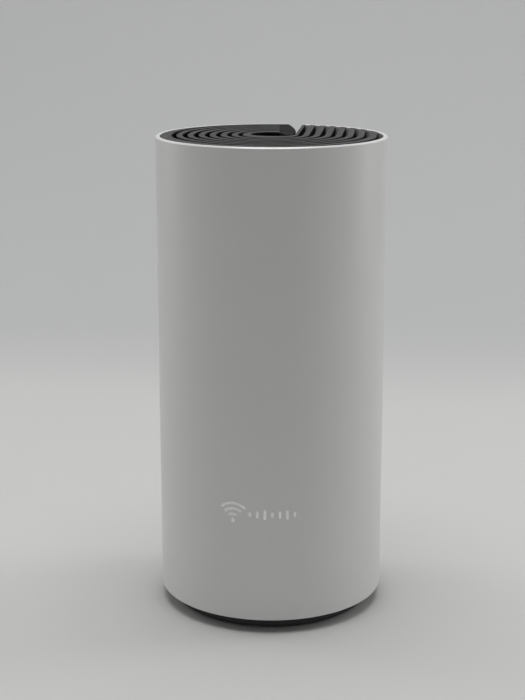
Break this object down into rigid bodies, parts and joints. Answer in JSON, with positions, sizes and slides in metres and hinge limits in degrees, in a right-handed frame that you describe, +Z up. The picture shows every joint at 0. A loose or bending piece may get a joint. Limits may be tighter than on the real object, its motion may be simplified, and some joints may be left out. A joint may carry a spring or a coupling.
{
  "type": "mesh wifi node",
  "caption": "Free-standing round wireless router: white tube on a recessed dark foot, dark swirling vent cap with an eye and a rear notch, rear socket bay, sprung reset button underneath.",
  "frame": {"origin": "on the body's axis at the surface it stands on", "axes": "+Z up; the plain front faces -Y; the socket bay and rear groove face +Y"},
  "size_m": [0.0908, 0.0908, 0.19],
  "materials": {
    "shell_white": "satin moulded white",
    "vent_black": "satin moulded dark grey",
    "spine_black": "satin moulded black",
    "panel_black": "fine textured black",
    "base_black": "fine textured black",
    "foot_rubber": "matt black",
    "label_paper": "blank coated sticker",
    "lens_smoked": "smoked, polished",
    "chassis_plastic": "moulded dark grey",
    "board_green": "solder mask over copper",
    "heat_sink_metal": "extruded, brushed",
    "shield_tin": "tinned sheet",
    "chip_epoxy": "moulded epoxy",
    "thermal_pad": "soft filled silicone",
    "jack_steel": "plated sheet",
    "jack_plastic": "moulded black",
    "pin_brass": "plated",
    "capacitor_can": "drawn can",
    "ferrite": "sintered dark grey",
    "led_resin": "clear and white resin",
    "socket_plastic": "natural nylon",
    "ribbon_white": "flat white film",
    "switch_steel": "stamped cover",
    "coax_jacket": "black jacket",
    "screw_steel": "zinc plated",
    "button_plastic": "moulded dark grey"
  },
  "bodies": {
    "housing": {"outer_shell": "shell_white", "top_vent": "vent_black", "rear_spine": "spine_black", "port_panel": "panel_black", "base_cover": "base_black", "foot_ring": "foot_rubber", "rating_label": "label_paper", "led_window": "lens_smoked", "chassis_frame": "chassis_plastic", "main_board": "board_green", "button_board": "board_green", "antenna_24_left": "board_green", "antenna_5_left": "board_green", "antenna_5_right": "board_green", "antenna_24_right": "board_green", "heat_sink": "heat_sink_metal", "cpu_shield": "shield_tin", "radio_shield": "shield_tin", "cpu_chip": "chip_epoxy", "radio_chip": "chip_epoxy", "lan_transformer_1": "chip_epoxy", "lan_transformer_2": "chip_epoxy", "cpu_thermal_pad": "thermal_pad", "radio_thermal_pad": "thermal_pad", "lan_jack_1": "jack_steel", "lan_jack_2": "jack_steel", "lan_insert_1": "jack_plastic", "lan_insert_2": "jack_plastic", "dc_jack": "jack_plastic", "dc_pin": "pin_brass", "capacitor_1": "capacitor_can", "capacitor_2": "capacitor_can", "capacitor_3": "capacitor_can", "power_inductor": "ferrite", "status_led": "led_resin", "ribbon_socket_button": "socket_plastic", "ribbon_socket_main": "socket_plastic", "ribbon_cable": "ribbon_white", "reset_switch_body": "switch_steel", "coax_1": "coax_jacket", "coax_2": "coax_jacket", "coax_3": "coax_jacket", "coax_4": "coax_jacket", "base_screw_1": "screw_steel", "base_screw_2": "screw_steel", "base_screw_3": "screw_steel", "base_screw_4": "screw_steel", "vent_screw_1": "screw_steel", "vent_screw_2": "screw_steel", "vent_screw_3": "screw_steel", "heat_sink_screw_1": "screw_steel", "heat_sink_screw_2": "screw_steel", "heat_sink_screw_3": "screw_steel", "heat_sink_screw_4": "screw_steel", "button_board_screw_1": "screw_steel", "button_board_screw_2": "screw_steel"},
    "reset_button": {"reset_button": "button_plastic", "reset_plunger": "button_plastic"}
  },
  "joints": [
    {"name": "reset_press", "type": "slide", "parent": "housing", "child": "reset_button", "axis": [0, 0, 1], "range_m": [0, 0.0006], "stiffness_N_per_m": 2000}
  ]
}
